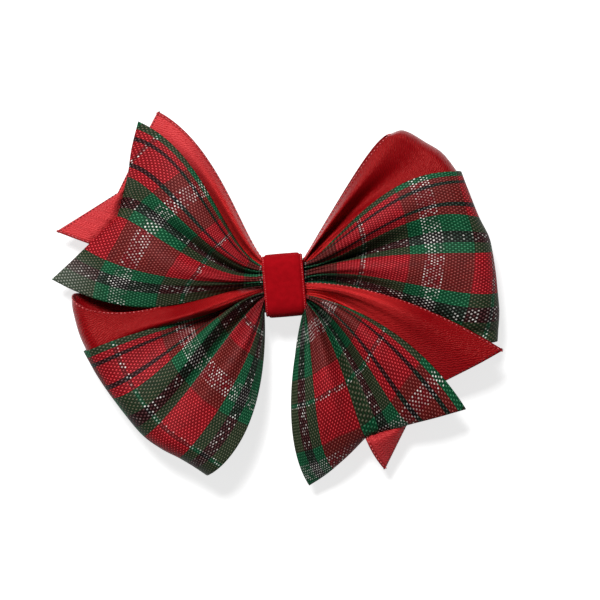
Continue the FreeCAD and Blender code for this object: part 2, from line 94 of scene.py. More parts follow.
# %% Fold lines of the eight petals
# Each line: share of width, y at the band in mm, bearings in degrees at the near and far ring and at
# the end, distance of the end in mm, height of the crest or depth of the valley in mm.
FOLDS = {
    "tartan_loop_right": [
        (0.00, 4.2, 42.3, 42.5, 32.2, 46.4, -0.5),
        (0.14, 4.9, 36.6, 34.7, 27.3, 45.7, 2.6),
        (0.28, 4.0, 28.2, 27.3, 18.8, 45.5, 0.8),
        (0.40, 3.3, 23.0, 19.9, 12.9, 46.4, -3.2),
        (0.49, 3.0, 21.6, 14.1, 9.0, 46.5, 0.4),
        (0.60, 2.4, 16.5, 8.3, 3.0, 46.7, 2.6),
        (0.73, 1.7, 10.4, 0.6, -2.4, 47.1, 1.6),
        (0.85, 1.1, 4.6, -6.9, -7.7, 47.8, -1.0),
        (1.00, 0.4, -6.2, -17.0, -15.2, 48.7, -2.2),
    ],
    "satin_loop_right": [
        (0.00, 5.9, 55.4, 56.9, 54.6, 40.4, -1.2),
        (0.12, 5.4, 53.0, 52.7, 52.0, 43.0, 2.0),
        (0.30, 4.9, 50.8, 46.6, 45.0, 44.3, -2.2),
        (0.50, 4.2, 43.3, 40.3, 38.1, 45.5, 0.8),
        (0.75, 3.5, 31.4, 29.8, 26.3, 45.3, 0.5),
        (1.00, 2.6, 16.4, 15.0, 8.5, 44.9, -1.0),
    ],
    "satin_loop_left": [
        (0.00, 0.1, 183.9, 189.9, 184.9, 46.8, -1.2),
        (0.12, -0.2, 187.5, 193.7, 188.7, 46.9, -0.2),
        (0.28, -0.9, 196.1, 198.8, 197.2, 46.2, 2.8),
        (0.60, -1.5, 208.2, 209.8, 211.9, 44.7, -1.0),
        (1.00, -2.6, 225.7, 231.2, 232.8, 42.4, -1.5),
    ],
    "tartan_loop_left": [
        (0.00, -1.1, 201.4, 198.6, 198.8, 46.6, -2.6),
        (0.18, -1.3, 204.0, 207.2, 207.9, 45.7, -3.2),
        (0.36, -1.9, 206.3, 217.6, 218.7, 45.2, 2.4),
        (0.49, -2.4, 220.4, 226.5, 227.2, 45.5, -1.6),
        (0.62, -3.1, 232.0, 234.6, 233.7, 45.1, 2.2),
        (0.73, -3.5, 241.1, 242.6, 239.0, 44.6, 1.0),
        (0.87, -4.0, 248.0, 250.8, 243.9, 44.7, -0.6),
        (1.00, -4.4, 251.7, 256.4, 248.4, 45.3, -2.8),
    ],
    "tartan_tail_left": [
        (0.00, 4.0, 137.4, 128.9, 131.7, 48.6, -1.0),
        (0.14, 3.6, 145.3, 136.3, 138.2, 45.3, 1.6),
        (0.28, 3.2, 153.9, 146.9, 145.2, 42.2, 1.2),
        (0.42, 2.6, 162.5, 154.1, 154.4, 40.4, -2.6),
        (0.50, 2.1, 168.1, 160.7, 158.0, 40.0, 0.0),
        (0.60, 1.5, 172.8, 167.3, 163.1, 41.8, 1.8),
        (0.73, 0.9, 176.8, 175.4, 169.7, 44.9, 1.0),
        (0.87, 0.4, 182.7, 182.7, 174.6, 48.1, -1.0),
        (1.00, 0.0, 187.9, 189.9, 178.6, 51.5, -2.6),
    ],
    "satin_tail_left": [
        (0.00, 5.5, 125.5, 121.2, 126.0, 47.6, -1.2),
        (0.10, 5.1, 130.0, 125.2, 130.5, 45.9, 1.6),
        (0.25, 4.6, 136.9, 131.0, 137.9, 43.8, -2.0),
        (0.50, 3.8, 149.6, 147.2, 151.1, 42.1, 1.6),
        (0.75, 2.9, 160.7, 159.3, 159.8, 46.6, -1.4),
        (1.00, 2.0, 172.6, 171.4, 166.8, 51.9, -1.0),
    ],
    "satin_tail_right": [
        (0.00, 0.5, -1.5, -8.2, -16.5, 50.4, -0.4),
        (0.15, -0.4, -6.0, -13.5, -21.8, 46.4, 2.2),
        (0.35, -1.4, -13.5, -22.5, -30.4, 41.5, -0.6),
        (0.50, -2.0, -20.0, -31.0, -38.0, 38.7, -2.0),
        (0.75, -2.7, -32.0, -45.5, -50.8, 41.7, 1.6),
        (1.00, -3.4, -44.6, -58.5, -61.4, 46.5, -1.0),
    ],
    "tartan_tail_right": [
        (0.00, -2.2, -19.6, -24.3, -34.3, 48.6, -1.2),
        (0.15, -2.4, -25.8, -34.8, -41.0, 44.5, 2.4),
        (0.28, -2.7, -35.2, -45.0, -47.8, 41.4, 0.8),
        (0.44, -3.1, -44.2, -52.7, -57.3, 38.8, -3.4),
        (0.50, -3.4, -49.1, -59.5, -61.7, 38.1, -0.6),
        (0.60, -3.7, -56.5, -66.7, -68.6, 39.9, 2.4),
        (0.73, -4.1, -65.7, -75.4, -75.1, 42.0, 1.2),
        (0.87, -4.5, -74.4, -82.8, -79.1, 43.4, -0.8),
        (1.00, -4.9, -79.1, -86.8, -82.9, 44.7, -2.4),
    ],
}
NEAR_RING = 14.0
FAR_RING = 28.0
print(sum(len(lines) for lines in FOLDS.values()), "fold lines on", len(FOLDS), "petals")

# %% [markdown]
# ## From fold lines to cloth
# Along a fold line, a cubic curve runs through its four places. Across the ribbon, a smooth curve runs
# through the fold lines, so a crest is rounded as a real fold is. The folds are deepest a little way
# out from the band and die away towards the loop's end, where the ribbon has its full width again.

# %% Curves along and across a petal
# Shares of the way along at which a fold line's four places lie.
ALONG_KNOTS = np.array([0.0, 0.24, 0.57, 1.0])
# The higher this power, the closer to a tail's end its cut turns into a sharp V.
NOTCH_POWER = 8


def smooth(t):
    """Eases from 0 to 1 with no kink at either end."""
    t = np.clip(t, 0.0, 1.0)
    return t * t * (3 - 2 * t)


def cubic_weights(f):
    """How much each of a fold line's four places counts at each share f of the way along."""
    weights = np.ones((len(f), 4))
    for i in range(4):
        for j in range(4):
            if i != j:
                weights[:, i] *= (f - ALONG_KNOTS[j]) / (ALONG_KNOTS[i] - ALONG_KNOTS[j])
    return weights


def across_weights(shares, u):
    """Weights of a smooth curve through the fold lines (rows: places u, columns: fold lines)."""
    count = len(shares)
    slopes = np.zeros((count, count))
    for i in range(count):
        low, high = max(i - 1, 0), min(i + 1, count - 1)
        slopes[i, high] += 1 / (shares[high] - shares[low])
        slopes[i, low] -= 1 / (shares[high] - shares[low])
    weights = np.zeros((len(u), count))
    for row, place in enumerate(u):
        i = min(max(np.searchsorted(shares, place) - 1, 0), count - 2)
        span = shares[i + 1] - shares[i]
        t = (place - shares[i]) / span
        weights[row, i] += 2 * t**3 - 3 * t**2 + 1
        weights[row, i + 1] += 3 * t**2 - 2 * t**3
        weights[row] += (t**3 - 2 * t**2 + t) * span * slopes[i]
        weights[row] += (t**3 - t**2) * span * slopes[i + 1]
    return weights


def notch_weights(shares, u):
    """The same weights, but with a sharp corner in the middle of the width."""
    middle = int(np.searchsorted(shares, 0.5))
    weights = np.zeros((len(u), len(shares)))
    first = u <= 0.5
    weights[first, :middle + 1] = across_weights(shares[:middle + 1], u[first])
    weights[~first, middle:] = across_weights(shares[middle:], u[~first])
    return weights


def petal_places(name, f, u):
    """Places in plan (mm) of a petal's cloth: rows along it at shares f, columns across it at u."""
    side = 1 if name.endswith("right") else -1
    lines = np.array(FOLDS[name])
    places = np.zeros((len(lines), 4, 2))
    for k, (share, y, near, far, end, reach, crest) in enumerate(lines):
        places[k, 0] = side * MOUTH, y
        for m, (radius, bearing) in enumerate(((NEAR_RING, near), (FAR_RING, far), (reach, end)), 1):
            angle = math.radians(bearing)
            places[k, m] = radius * math.cos(angle), radius * math.sin(angle)
    along = np.einsum("fm,kmc->fkc", cubic_weights(f), places)
    weights = across_weights(lines[:, 0], u)
    plan = np.einsum("uk,fkc->fuc", weights, along)
    if "_tail_" in name:
        # The V is cut with scissors, so its corner is sharp at the very end of the tail.
        sharper = (notch_weights(lines[:, 0], u) - weights) @ places[:, 3]
        plan = plan + (f ** NOTCH_POWER)[:, None, None] * sharper[None]
    return plan


def fold_heights(name, f, u, end_share):
    """Heights of the folds (mm) over a petal: full a little way out, end_share of that at its end."""
    lines = np.array(FOLDS[name])
    crest = across_weights(lines[:, 0], u) @ lines[:, 6]
    grown = 0.25 + 0.75 * smooth(f / 0.2)
    faded = 1 - (1 - end_share) * smooth((f - 0.3) / 0.6)
    return (grown * faded)[:, None] * crest[None, :]


def gathers(f, u, seed, size, reach, calm=1.0, count=9):
    """Small creases (mm) that fan out from the band and die away by share reach.

    Near the edge at u = 0 they are calm times as deep, and deeper to make up for it at the other."""
    rng = random.Random(seed)
    waves = np.zeros(len(u))
    for k in range(3):
        waves += np.sin(2 * math.pi * (count + 4 * k) * u + rng.uniform(0, 6.28)) / (k + 1)
    fade = np.exp(-((f / reach) ** 2))
    deeper = 1.8 - 0.8 * calm
    depth = calm + (deeper - calm) * smooth((u - 0.36) / 0.26)
    return size * fade[:, None] * (waves * depth)[None, :]


print("curves ready")

# %% [markdown]
# ## Heights of the layers
# The ribbons lie in layers under the band. Seen from the top there are the tartan tails, the satin
# tails, the fronts of the two rings and then their backs. Each petal rises from its layer in the knot
# to the fullness of its loop. The tails come down again towards the surface that the bow lies on.

# %% Petals as grids of points
COLUMNS = 81
ACROSS = np.linspace(0, 1, COLUMNS)
LOOP_STEPS = np.linspace(0, 1, 92)
TAIL_STEPS = np.linspace(0, 1, 116)
FOLD_RADIUS = {"tartan": 5.0, "satin": 3.6}
# Depth of the small gathers (mm) and the share of the loop that they reach, on the face and behind.
GATHERS = {"tartan": (0.32, 0.30), "satin": (0.52, 0.46, 0.2), "behind": (0.75, 0.62)}
FOLD_SHARE = {kind: radius / 42 for kind, radius in FOLD_RADIUS.items()}


def grid(name, f, base, folds, seed, end_share=0.15, gather="tartan"):
    """Points (mm) of a petal: base is the height at each share f, folds scales its fold heights."""
    plan = petal_places(name, f, ACROSS)
    height = base[:, None] + folds * fold_heights(name, f, ACROSS, end_share)
    height = height + gathers(f, ACROSS, seed, *GATHERS[gather])
    return np.dstack([plan, height])


def risen(f, start, crown, by=0.55):
    """Height that rises from start at the band to crown at share by."""
    return start + (crown - start) * smooth(f / by)


def loop_layer(kind, side, where, seed, folds=1.0):
    """One layer, front or back, of a ring's loop on one side."""
    f = LOOP_STEPS * (1 - FOLD_SHARE[kind])
    sign = 1 if where == "front" else -1
    base = risen(f, LAYER[f"{kind}_{where}"], LOOP_MIDDLE + sign * FOLD_RADIUS[kind])
    gather = kind if where == "front" else "behind"
    return grid(f"{kind}_loop_{side}", f, base, folds, seed, gather=gather)


DROOP_START = 0.5


def tail_layer(kind, side, crown, drops, seed):
    """One tail: it rises to crown, and its tips come down by drops (mm) at its two edges."""
    down = np.clip((TAIL_STEPS - DROOP_START) / (1 - DROOP_START), 0, 1) ** 1.8
    base = risen(TAIL_STEPS, LAYER[f"{kind}_tail"], crown)
    points = grid(f"{kind}_tail_{side}", TAIL_STEPS, base, 1.0, seed, 0.35, kind)
    points[..., 2] -= down[:, None] * (drops[0] + (drops[1] - drops[0]) * smooth(ACROSS))[None, :]
    return points


layers = {
    "tartan_tail_left": tail_layer("tartan", "left", 12.7, (7.6, 6.4), 1),
    "tartan_tail_right": tail_layer("tartan", "right", 12.7, (3.2, 7.0), 2),
    "satin_tail_left": tail_layer("satin", "left", 11.7, (7.2, 6.6), 3),
    "satin_tail_right": tail_layer("satin", "right", 11.7, (0.6, 6.2), 4),
}
for side in ("right", "left"):
    for kind in ("tartan", "satin"):
        for where, folds in (("front", 1.0), ("back", 0.8)):
            seed = len(layers) + 5
            layers[f"{kind}_{where}_{side}"] = loop_layer(kind, side, where, seed, folds)
for name, points in layers.items():
    print(name, "stands", round(points[..., 2].min(), 1), "to", round(points[..., 2].max(), 1), "mm")

# %% [markdown]
# ## Pressing the layers together
# Real ribbon can't pass through ribbon: where a tail lies over a loop, it presses it down. Here every
# layer is looked at from below, straight up through each of its points. Where it stands above the
# layer that should cover it, it is let down to just under it, and the dent is spread out softly. This
# is a simple rule, not a simulation: close to the band and at a loop's end, layers may still touch.

# %% Press each layer under the ones that cover it
LAYER_GAP = 0.5
FLOOR_GAP = 0.35
DENT_SPREAD = 14
DENT_SLOPE = 0.97
BELOW_ALL = -20.0


def sheet_tree(points):
    """A search tree of a grid of points, for looking up through it."""
    rows, columns = points.shape[:2]
    faces = [
        (r * columns + c, r * columns + c + 1, (r + 1) * columns + c + 1, (r + 1) * columns + c)
        for r in range(rows - 1)
        for c in range(columns - 1)
    ]
    return BVHTree.FromPolygons([Vector(p) for p in points.reshape(-1, 3).tolist()], faces)


def spread(dent):
    """Spreads a dent over its neighbours without making it shallower."""
    for _ in range(DENT_SPREAD):
        wide = np.pad(dent, 1, mode="edge")
        soft = (wide[:-2, 1:-1] + wide[2:, 1:-1] + wide[1:-1, :-2] + wide[1:-1, 2:]) / 4
        dent = np.maximum(dent, soft * DENT_SLOPE)
    return dent


def press_under(points, trees):
    """Lets a layer down under the trees of the layers that cover it."""
    dent = np.zeros(points.shape[:2])
    up = Vector((0, 0, 1))
    for r, c in np.ndindex(*dent.shape):
        x, y, z = points[r, c]
        for tree in trees:
            hit = tree.ray_cast(Vector((x, y, BELOW_ALL)), up)[0]
            if hit is not None:
                dent[r, c] = max(dent[r, c], z - (hit.z - LAYER_GAP))
    dent = spread(dent)
    points[..., 2] = np.maximum(points[..., 2] - dent, FLOOR_GAP)
    return dent.max()


COVER_ORDER = ["tartan_tail", "satin_tail", "tartan_front", "satin_front", "satin_back", "tartan_back"]
for side in ("left", "right"):
    covers = []
    for layer in COVER_ORDER:
        name = f"{layer}_{side}"
        deepest = press_under(layers[name], covers)
        covers.append(sheet_tree(layers[name]))
        print(name, "is pressed down by up to", round(float(deepest), 2), "mm")

# %% [markdown]
# ## Folding the rings and joining the halves
# At a loop's end the front layer turns round into the back layer. The turn is a half circle whose
# height is what the pressing has left between the two. Under the band a short piece joins the left
# half to the right half.

# %% Turns at the loops' ends and runs through the knot
TURN_STEPS = 24
KNOT_STEPS = 9
# How far (degrees) a loop's back has slipped round the knot from its front.
SLIP = {"satin_left": -4.0, "satin_right": 0.8, "tartan_left": -1.0, "tartan_right": 1.0}


def turned(plan, degrees):
    """Places in plan turned round the knot."""
    angle = math.radians(degrees)
    turn = np.array([[math.cos(angle), math.sin(angle)], [-math.sin(angle), math.cos(angle)]])
    return plan @ turn


def loop_turn(kind, side):
    """The rows of a loop's end, from its front layer round to its back layer."""
    front = layers[f"{kind}_front_{side}"][-1, :, 2]
    back = layers[f"{kind}_back_{side}"][-1, :, 2]
    share = FOLD_SHARE[kind]
    rows = []
    for step in range(1, TURN_STEPS):
        angle = math.pi * step / TURN_STEPS
        f = np.array([1 - share + share * math.sin(angle)])
        plan = petal_places(f"{kind}_loop_{side}", f, ACROSS)[0]
        plan = turned(plan, SLIP[f"{kind}_{side}"] * float(smooth(step / TURN_STEPS)))
        height = (front + back) / 2 + (front - back) / 2 * math.cos(angle)
        rows.append(np.column_stack([plan, height]))
    return np.array(rows)


def knot_run(start, start_next, stop, stop_next):
    """Rows under the band, from one half's first row to the other's, leaving both smoothly."""
    reach = 2 * MOUTH
    start_pull = start - start_next
    stop_pull = stop_next - stop
    start_pull = start_pull / np.linalg.norm(start_pull, axis=1)[:, None] * reach
    stop_pull = stop_pull / np.linalg.norm(stop_pull, axis=1)[:, None] * reach
    rows = []
    for step in range(1, KNOT_STEPS):
        t = step / KNOT_STEPS
        row = (2 * t**3 - 3 * t**2 + 1) * start + (3 * t**2 - 2 * t**3) * stop
        bend = (t**3 - 2 * t**2 + t) * start_pull + (t**3 - t**2) * stop_pull
        row[:, :2] += bend[:, :2]
        rows.append(row)
    return np.array(rows)


def ring_rows(kind):
    """All rows of a ring: back right, front right, front left and back left, from its seam round."""
    backs = {side: layers[f"{kind}_back_{side}"].copy() for side in ("right", "left")}
    for side, back in backs.items():
        back[..., :2] = turned(back[..., :2], SLIP[f"{kind}_{side}"])
    right, left = layers[f"{kind}_front_right"], layers[f"{kind}_front_left"]
    return np.concatenate([
        backs["right"],
        loop_turn(kind, "right")[::-1],
        right[::-1],
        knot_run(right[0], right[1], left[0], left[1]),
        left,
        loop_turn(kind, "left"),
        backs["left"][::-1],
        knot_run(backs["left"][0], backs["left"][1], backs["right"][0], backs["right"][1]),
    ])


def tail_rows(kind):
    """All rows of a pair of tails, from the right tips to the left tips."""
    left, right = layers[f"{kind}_tail_left"], layers[f"{kind}_tail_right"]
    return np.concatenate([right[::-1], knot_run(right[0], right[1], left[0], left[1]), left])


ribbons = {
    "tartan_ring": ring_rows("tartan"),
    "satin_ring": ring_rows("satin"),
    "tartan_tail_pair": tail_rows("tartan"),
    "satin_tail_pair": tail_rows("satin"),
}

# %% [markdown]
# ## Measuring along the ribbon
# The weave has to lie on the cloth as it does on the real ribbon, so every point needs its place along
# the ribbon in real millimetres. In a ring all threads of one row are equally far along. In a tail each
# thread is measured by itself, because the V cut takes more off the middle than off the edges.

# %% Places along the ribbon, in millimetres from the knot
STRIP = 200.0
# How far the crossing threads lean over the ribbon's width (mm), on the right and on the left.
LEAN = {"tartan_ring": (7.6, 3.0), "tartan_tail_pair": (-3.0, 12.0)}
# The hidden ribbon isn't modelled, so the places along the ribbon leave it out.
TUCKED = {"tartan_tail_pair": 14.2}
# The lean and the tuck take effect over this distance (mm) from the band, about this share across.
LEAN_REACH = 20
LEAN_CENTRE = 0.6


def places_along(name, points):
    """Place of each point along its ribbon, in mm: less than 0 on the left, more on the right."""
    steps = np.linalg.norm(np.diff(points, axis=0), axis=2)
    if name.endswith("ring"):
        steps = np.repeat(steps.mean(axis=1)[:, None], COLUMNS, axis=1)
    along = np.concatenate([np.zeros((1, COLUMNS)), np.cumsum(steps, axis=0)])
    if name.endswith("ring"):
        centre = len(LOOP_STEPS) * 2 + TURN_STEPS - 1 + KNOT_STEPS // 2
    else:
        centre = len(TAIL_STEPS) + KNOT_STEPS // 2
    along = along[centre] - along
    right, left = LEAN.get(name, (0, 0))
    lean = np.where(along > 0, right, left) * smooth((np.abs(along) - MOUTH) / LEAN_REACH)
    tucked = TUCKED.get(name, 0) * smooth(0.5 - along / (2 * MOUTH))
    return along + lean * (ACROSS[None, :] - LEAN_CENTRE) - tucked


places = {name: places_along(name, points) for name, points in ribbons.items()}
for name, along in places.items():
    print(name, "runs from", round(float(along.min())), "to", round(float(along.max())), "mm")

# %% [markdown]
# ## Cloth as a mesh
# A grid of points becomes a mesh of four-sided faces. Its UV map says where each corner is on the flat
# ribbon. Solidify gives the cloth its thickness, and the result is baked so that no modifier is left.

# %% Helpers for meshes and pieces


def baked(obj):
    """Replaces an object's mesh with what its modifiers make of it."""
    graph = bpy.context.evaluated_depsgraph_get()
    mesh = bpy.data.meshes.new_from_object(obj.evaluated_get(graph), depsgraph=graph)
    obj.modifiers.clear()
    mesh.name = obj.name
    obj.data = mesh
    return obj


def add_object(name, mesh, material):
    """Puts a mesh into the scene with a material."""
    obj = bpy.data.objects.new(name, mesh)
    bpy.context.scene.collection.objects.link(obj)
    mesh.materials.clear()
    mesh.materials.append(material)
    return obj


def finish_piece(obj, replaced=()):
    """Puts a piece on its body and hides the CAD nodes that it replaces."""
    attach(obj, BODY)
    if replaced:
        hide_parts(*replaced)
    triangles = sum(len(face.vertices) - 2 for face in obj.data.polygons)
    print(obj.name, "has", triangles, "triangles")
    return obj


def cloth(name, points, along, material, thickness=FABRIC, closed=False):
    """A sheet of cloth through a grid of points, with its place on the flat ribbon as its UV map."""
    rows, columns = points.shape[:2]
    last = rows if closed else rows - 1
    faces = []
    corners = []
    length = along[0].mean() - along[-1].mean()
    for r in range(last):
        n = (r + 1) % rows
        for c in range(columns - 1):
            faces.append((r * columns + c, n * columns + c, n * columns + c + 1, r * columns + c + 1))
            wrap = -length if n < r else 0.0
            for row, column in ((r, c), (n, c), (n, c + 1), (r, c + 1)):
                place = along[row, column] + (wrap if row == n else 0.0)
                corners.append((ACROSS[column], 0.5 + place / STRIP))
    mesh = bpy.data.meshes.new(name)
    mesh.from_pydata((points.reshape(-1, 3) * MM).tolist(), [], faces)
    uv = mesh.uv_layers.new(name="ribbon")
    uv.data.foreach_set("uv", np.array(corners).ravel())
    mesh.polygons.foreach_set("use_smooth", [True] * len(faces))
    obj = add_object(name, mesh, material)
    wall = obj.modifiers.new("thickness", "SOLIDIFY")
    wall.thickness = thickness * MM
    wall.offset = 0
    return baked(obj)


print("cloth is", FABRIC, "mm thick, with", COLUMNS, "points across it")

# %% [markdown]
# ## Building materials
# Each finish is a small tree of shader nodes. These helpers add a node, set its values and join it to
# others in one line, so that a material reads as a list of its steps.

# %% Helpers for shader nodes


def new_material(name):
    """An empty node material and its node tree."""
    material = bpy.data.materials.new(name)
    material.use_nodes = True
    material.node_tree.nodes.clear()
    return material, material.node_tree


def node(tree, kind, inputs=None, **settings):
    """Adds a node. An input is a value, or another node's output that is joined to it."""
    made = tree.nodes.new(kind)
    for key, value in settings.items():
        setattr(made, key, value)
    for key, value in (inputs or {}).items():
        if isinstance(value, bpy.types.NodeSocket):
            tree.links.new(value, made.inputs[key])
        else:
            made.inputs[key].default_value = value
    return made


def maths(tree, operation, first, second=0.0, third=0.0, clamp=False):
    """One step of arithmetic; returns its output."""
    inputs = {0: first, 1: second, 2: third}
    return node(tree, "ShaderNodeMath", inputs, operation=operation, use_clamp=clamp).outputs[0]


def blend(tree, share, first, second):
    """Mixes two colours; returns the result."""
    # A Mix node has sockets for several kinds of value: these three are the colour's.
    inputs = {0: share, 6: first, 7: second}
    return node(tree, "ShaderNodeMix", data_type="RGBA", inputs=inputs).outputs[2]


def ease(tree, value, start, stop, low=0.0, high=1.0):
    """Goes softly from low to high as a value goes from start to stop."""
    inputs = {"Value": value, "From Min": start, "From Max": stop, "To Min": low, "To Max": high}
    return node(tree, "ShaderNodeMapRange", inputs, interpolation_type="SMOOTHSTEP").outputs[0]


def noise(tree, place, scale, detail, roughness=0.5):
    """Cloudy noise from 0 to 1."""
    inputs = {"Vector": place, "Scale": scale, "Detail": detail, "Roughness": roughness}
    return node(tree, "ShaderNodeTexNoise", inputs).outputs[0]


def object_place(tree):
    """Place on the piece itself, in metres."""
    return node(tree, "ShaderNodeTexCoord").outputs["Object"]


def stripes(tree, place, bands, smoothness="CONSTANT"):
    """Colours by place from 0 to 1: bands is a list of (start, colour)."""
    ramp = node(tree, "ShaderNodeValToRGB", {0: place})
    elements = ramp.color_ramp.elements
    ramp.color_ramp.interpolation = smoothness
    while len(elements) < len(bands):
        elements.new(1.0)
    for element, (start, colour) in zip(elements, bands):
        element.position = start
        element.color = colour
    return ramp.outputs[0]


def ribbon_place(tree, width):
    """Places in mm on the flat ribbon: across it and along it, and both as a vector."""
    uv = node(tree, "ShaderNodeUVMap", uv_map="ribbon").outputs[0]
    inputs = {"Vector": uv, "Location": (0, -STRIP / 2, 0), "Scale": (width, STRIP, 1)}
    scaled = node(tree, "ShaderNodeMapping", inputs)
    split = node(tree, "ShaderNodeSeparateXYZ", {0: scaled.outputs[0]})
    return split.outputs[0], split.outputs[1], scaled.outputs[0]


def finish_material(tree, settings, height=None, depth=0.03 * MM, strength=1.0):
    """The main shader with its settings, with a bump from height where it is given."""
    shader = node(tree, "ShaderNodeBsdfPrincipled", settings)
    if height is not None:
        bump = node(tree, "ShaderNodeBump", {"Height": height, "Distance": depth, "Strength": strength})
        tree.links.new(bump.outputs[0], shader.inputs["Normal"])
    output = tree.nodes.new("ShaderNodeOutputMaterial")
    tree.links.new(shader.outputs[0], output.inputs[0])
    return shader


def tone(red, green, blue):
    """A colour given as it looks on a screen (0 to 255), turned into the light it reflects."""
    def light(value):
        share = value / 255
        return share / 12.92 if share <= 0.04045 else ((share + 0.055) / 1.055) ** 2.4
    return (light(red), light(green), light(blue), 1.0)


# %% [markdown]
# ## Tartan ribbon
# The tartan is woven from dyed threads. Stripes along the ribbon come from the warp, stripes across it
# from the weft, and where the two meet their colours mix. It is an open weave: small pale dots, painted
# highlights, show where the weft passes over, with painted shade between the threads. A few bands have
# silver thread, with painted glints.

# %% Tartan yarns and stripes
TARTAN_GREEN = tone(0, 98, 58)
TARTAN_RED = tone(182, 4, 24)
TARTAN_BLACK = tone(20, 6, 10)
# White of the painted glints on the silver thread.
SILVER_GLINT = tone(255, 252, 244)
# Pale tone of the painted light of the white floor seen through the open weave.
FLOOR_SEEN_THROUGH = tone(190, 196, 186)
# Warp stripes: share of the width where each begins.
WARP = [
    (0.0, TARTAN_GREEN), (0.037, TARTAN_RED), (0.077, TARTAN_BLACK), (0.101, TARTAN_RED),
    (0.209, TARTAN_BLACK), (0.233, TARTAN_RED), (0.278, TARTAN_GREEN), (0.378, TARTAN_BLACK),
    (0.438, TARTAN_GREEN), (0.493, TARTAN_RED), (0.728, TARTAN_GREEN), (0.808, TARTAN_BLACK),
    (0.888, TARTAN_GREEN),
]
# Weft stripes: share of one repeat along the ribbon where each begins.
WEFT_REPEAT = 30.5
WEFT = [
    (0.0, TARTAN_BLACK), (0.13, TARTAN_GREEN), (0.36, TARTAN_RED), (0.53, TARTAN_BLACK),
    (0.56, TARTAN_RED), (0.89, TARTAN_GREEN),
]
# Where silver thread runs with the weft and with the warp: begins, ends, how much of it shows.
WEFT_SILVER = [(0.0, 0.14, 0.80), (0.53, 0.57, 0.55)]
WARP_SILVER = [(0.378, 0.438, 0.25), (0.808, 0.888, 0.40)]
# Spacing of the threads (mm) across the ribbon and along it.
THREAD_PITCH = (0.39, 0.67)
# Distances from the knot (mm) between which the painted shade near the band fades out, and how light the
# cloth is left by it at the band.
KNOT_SHADE_REACH = (5.0, 20.0)
KNOT_SHADE_TONE = 0.58
# Where along the left tail (mm) the painted light of the white floor, seen through the open weave, starts
# and where it is strongest.
SEE_THROUGH_FROM = -50.0
SEE_THROUGH_TO = -62.0

print(len(WARP), "warp stripes, and", len(WEFT), "weft stripes in each", WEFT_REPEAT, "mm")

# %% Tartan finish


def silver_share(tree, place, bands):
    """How much silver thread there is at a place from 0 to 1."""
    total = 0.0
    for begins, ends, amount in bands:
        after = maths(tree, "GREATER_THAN", place, begins)
        before = maths(tree, "LESS_THAN", place, ends)
        inside = maths(tree, "MULTIPLY", after, before)
        total = maths(tree, "MULTIPLY_ADD", inside, amount, total)
    return total


def thread_round(tree, place):
    """Height of a row of round threads, from 0 between two to 1 on top of one."""
    return maths(tree, "ABSOLUTE", maths(tree, "SINE", maths(tree, "MULTIPLY", place, math.pi)))


